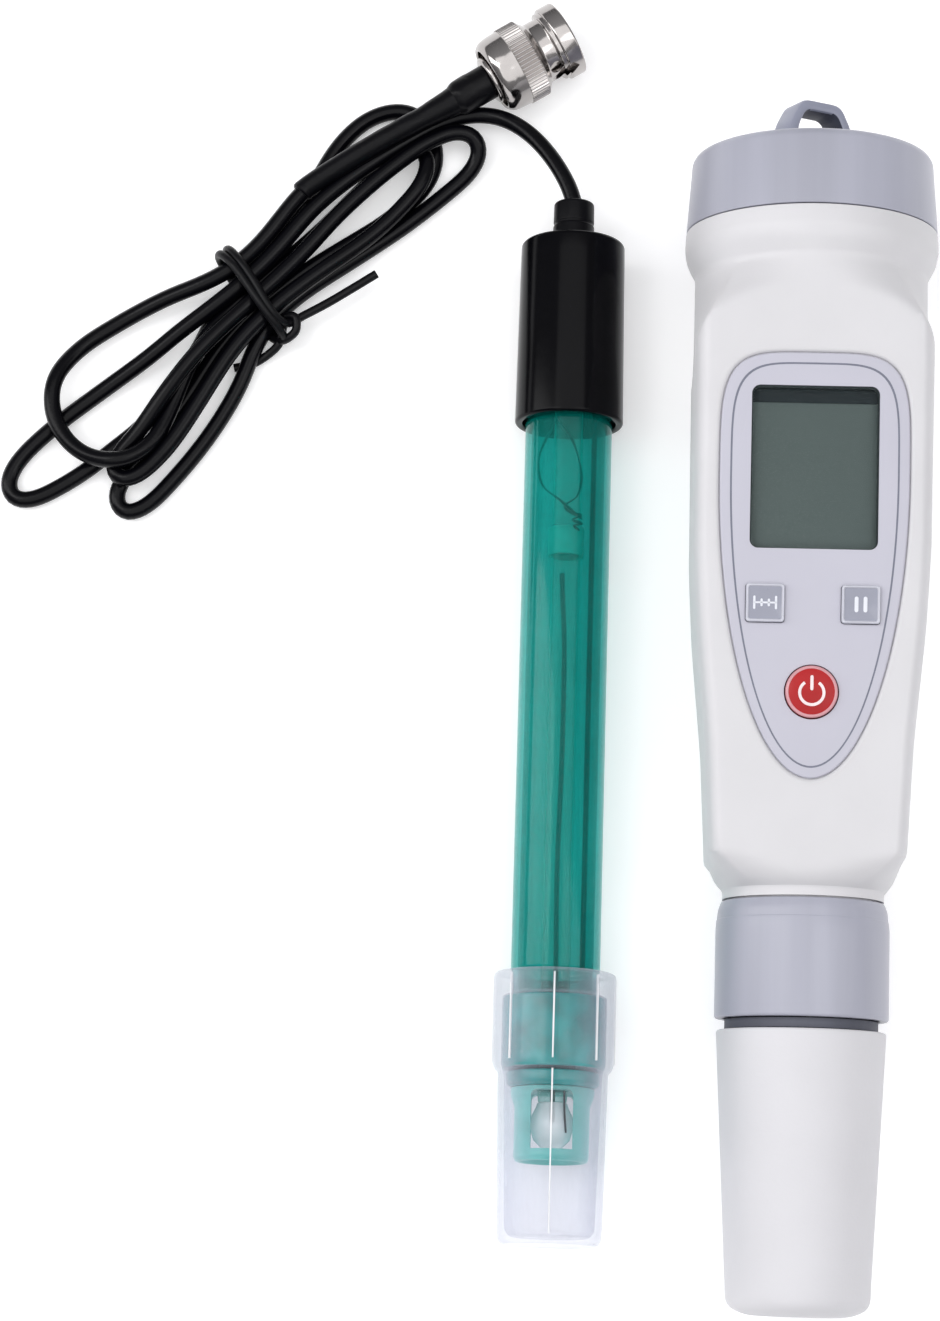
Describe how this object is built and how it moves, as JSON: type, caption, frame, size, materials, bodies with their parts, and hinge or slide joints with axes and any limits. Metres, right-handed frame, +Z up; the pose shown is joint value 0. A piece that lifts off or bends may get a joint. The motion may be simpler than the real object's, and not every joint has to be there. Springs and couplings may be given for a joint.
{
  "type": "ph meter",
  "caption": "Pen pH meter with display, keys, screw caps and storage cap, and a separate pH electrode on a tied coax cable with a bayonet plug.",
  "frame": {"origin": "on the table, under the middle of the meter and its electrode", "axes": "+Z up; +Y along both pieces, from the sensor ends towards the battery cap; +X from the electrode towards the meter"},
  "size_m": [0.1563, 0.2202, 0.0415],
  "materials": {
    "shell": "fine satin moulding",
    "grey_cap": "satin",
    "panel": "satin printed overlay",
    "lens": "clear window",
    "display": "liquid crystal",
    "inner_white": "moulded",
    "inner_black": "moulded",
    "elastomer": "matte",
    "board": "solder resist",
    "component": "moulded",
    "steel": "plain",
    "key": "glossy",
    "power_key": "glossy",
    "cell": "brushed",
    "contact": "plated",
    "lead_wire": "satin",
    "black_rubber": "matte",
    "red_rubber": "matte",
    "ribbon": "film",
    "clear_glass": "clear",
    "inner_glass": "clear",
    "wire": "dull silver",
    "dark_wire": "dull",
    "junction": "porous",
    "gold": "plated",
    "tube": "clear green",
    "gloss_black": "glossy",
    "gland": "satin",
    "potting": "cast",
    "bottle": "clear",
    "seal": "clear",
    "cable": "satin",
    "sleeve": "satin",
    "tie": "matte",
    "nickel": "nickel plate",
    "ptfe": "smooth"
  },
  "bodies": {
    "meter_body": {"housing": "shell", "control_panel": "panel", "display_lens": "lens", "display_glass": "display", "display_frame": "inner_white", "zebra_strips": "elastomer", "circuit_board": "board", "board_components": "component", "key_switches": "component", "board_screws": "steel", "chassis": "inner_white", "battery_holder": "inner_black", "battery_cells": "cell", "battery_contacts": "contact", "battery_leads": "lead_wire", "sensor_socket": "inner_black", "sensor_ribbon": "ribbon"},
    "cal_button": {"cal_button": "key"},
    "hold_button": {"hold_button": "key"},
    "power_button": {"power_button": "power_key"},
    "battery_cap_ring": {"cap_o_ring": "black_rubber"},
    "battery_cap": {"battery_cap": "grey_cap", "lanyard_loop": "grey_cap", "contact_spring": "contact"},
    "sensor_module": {"sensor_body": "inner_black", "sensor_glass": "clear_glass", "sensor_wire": "wire", "sensor_junction": "junction", "temperature_probe": "steel", "sensor_pins": "gold", "sensor_o_ring": "black_rubber", "cap_gasket": "black_rubber"},
    "lock_collar": {"lock_collar": "grey_cap"},
    "protective_cap": {"protective_cap": "shell"},
    "electrode": {"electrode_tube": "tube", "electrode_cap": "gloss_black", "strain_relief": "gland", "cap_potting": "potting", "inner_glass": "inner_glass", "inner_plug": "potting", "measuring_wire": "wire", "reference_wire": "dark_wire", "reference_junction": "junction", "cable_lead": "cable", "cable_hank": "cable", "cable_tail": "cable", "cable_sleeve": "sleeve", "cable_tie": "tie", "plug_boot": "sleeve", "plug_body": "nickel", "plug_insulator": "ptfe", "plug_pin": "gold", "plug_gasket": "red_rubber", "plug_washer": "steel"},
    "storage_bottle": {"storage_bottle": "bottle", "bottle_seal": "seal"},
    "plug_coupling": {"plug_coupling": "nickel"}
  },
  "joints": [
    {"name": "cal_press", "type": "slide", "parent": "meter_body", "child": "cal_button", "axis": [0, 0.0989, -0.9951], "range_m": [0, 0.0004], "stiffness_N_per_m": 5000},
    {"name": "hold_press", "type": "slide", "parent": "meter_body", "child": "hold_button", "axis": [0, 0.0989, -0.9951], "range_m": [0, 0.0004], "stiffness_N_per_m": 5000},
    {"name": "power_press", "type": "slide", "parent": "meter_body", "child": "power_button", "axis": [0, 0.0989, -0.9951], "range_m": [0, 0.0004], "stiffness_N_per_m": 5000},
    {"name": "battery_cap_lift", "type": "slide", "parent": "meter_body", "child": "battery_cap_ring", "axis": [0, 0.9985, 0.0554], "range_m": [0, 0.008]},
    {"name": "battery_cap_turn", "type": "hinge", "parent": "battery_cap_ring", "child": "battery_cap", "pos_m": [0.01418, 0.08255, 0.02133], "axis": [0, 0.9985, 0.0554], "range_deg": [0, 720]},
    {"name": "sensor_slide", "type": "slide", "parent": "meter_body", "child": "sensor_module", "axis": [0, -0.9985, -0.0554], "range_m": [0, 0.014]},
    {"name": "lock_collar_turn", "type": "hinge", "parent": "sensor_module", "child": "lock_collar", "pos_m": [0.01418, -0.04226, 0.0144], "axis": [0, -0.9985, -0.0554], "range_deg": [0, 1440]},
    {"name": "cap_slide", "type": "slide", "parent": "sensor_module", "child": "protective_cap", "axis": [0, -0.9985, -0.0554], "range_m": [0, 0.045]},
    {"name": "electrode_lift", "type": "slide", "parent": "meter_body", "child": "electrode", "axis": [0, 0, 1], "range_m": [0, 0.05]},
    {"name": "bottle_slide", "type": "slide", "parent": "electrode", "child": "storage_bottle", "axis": [0, -1, 0.0098], "range_m": [0, 0.06]},
    {"name": "plug_coupling_turn", "type": "hinge", "parent": "electrode", "child": "plug_coupling", "pos_m": [-0.03241, 0.1127, 0.00695], "axis": [0.848, 0.5299, 0], "continuous": true}
  ],
  "couplings": [
    {"joint": "battery_cap_lift", "follows": "battery_cap_turn", "m_per_rad": 0.00063662},
    {"joint": "sensor_slide", "follows": "lock_collar_turn", "m_per_rad": 0.00055704}
  ]
}
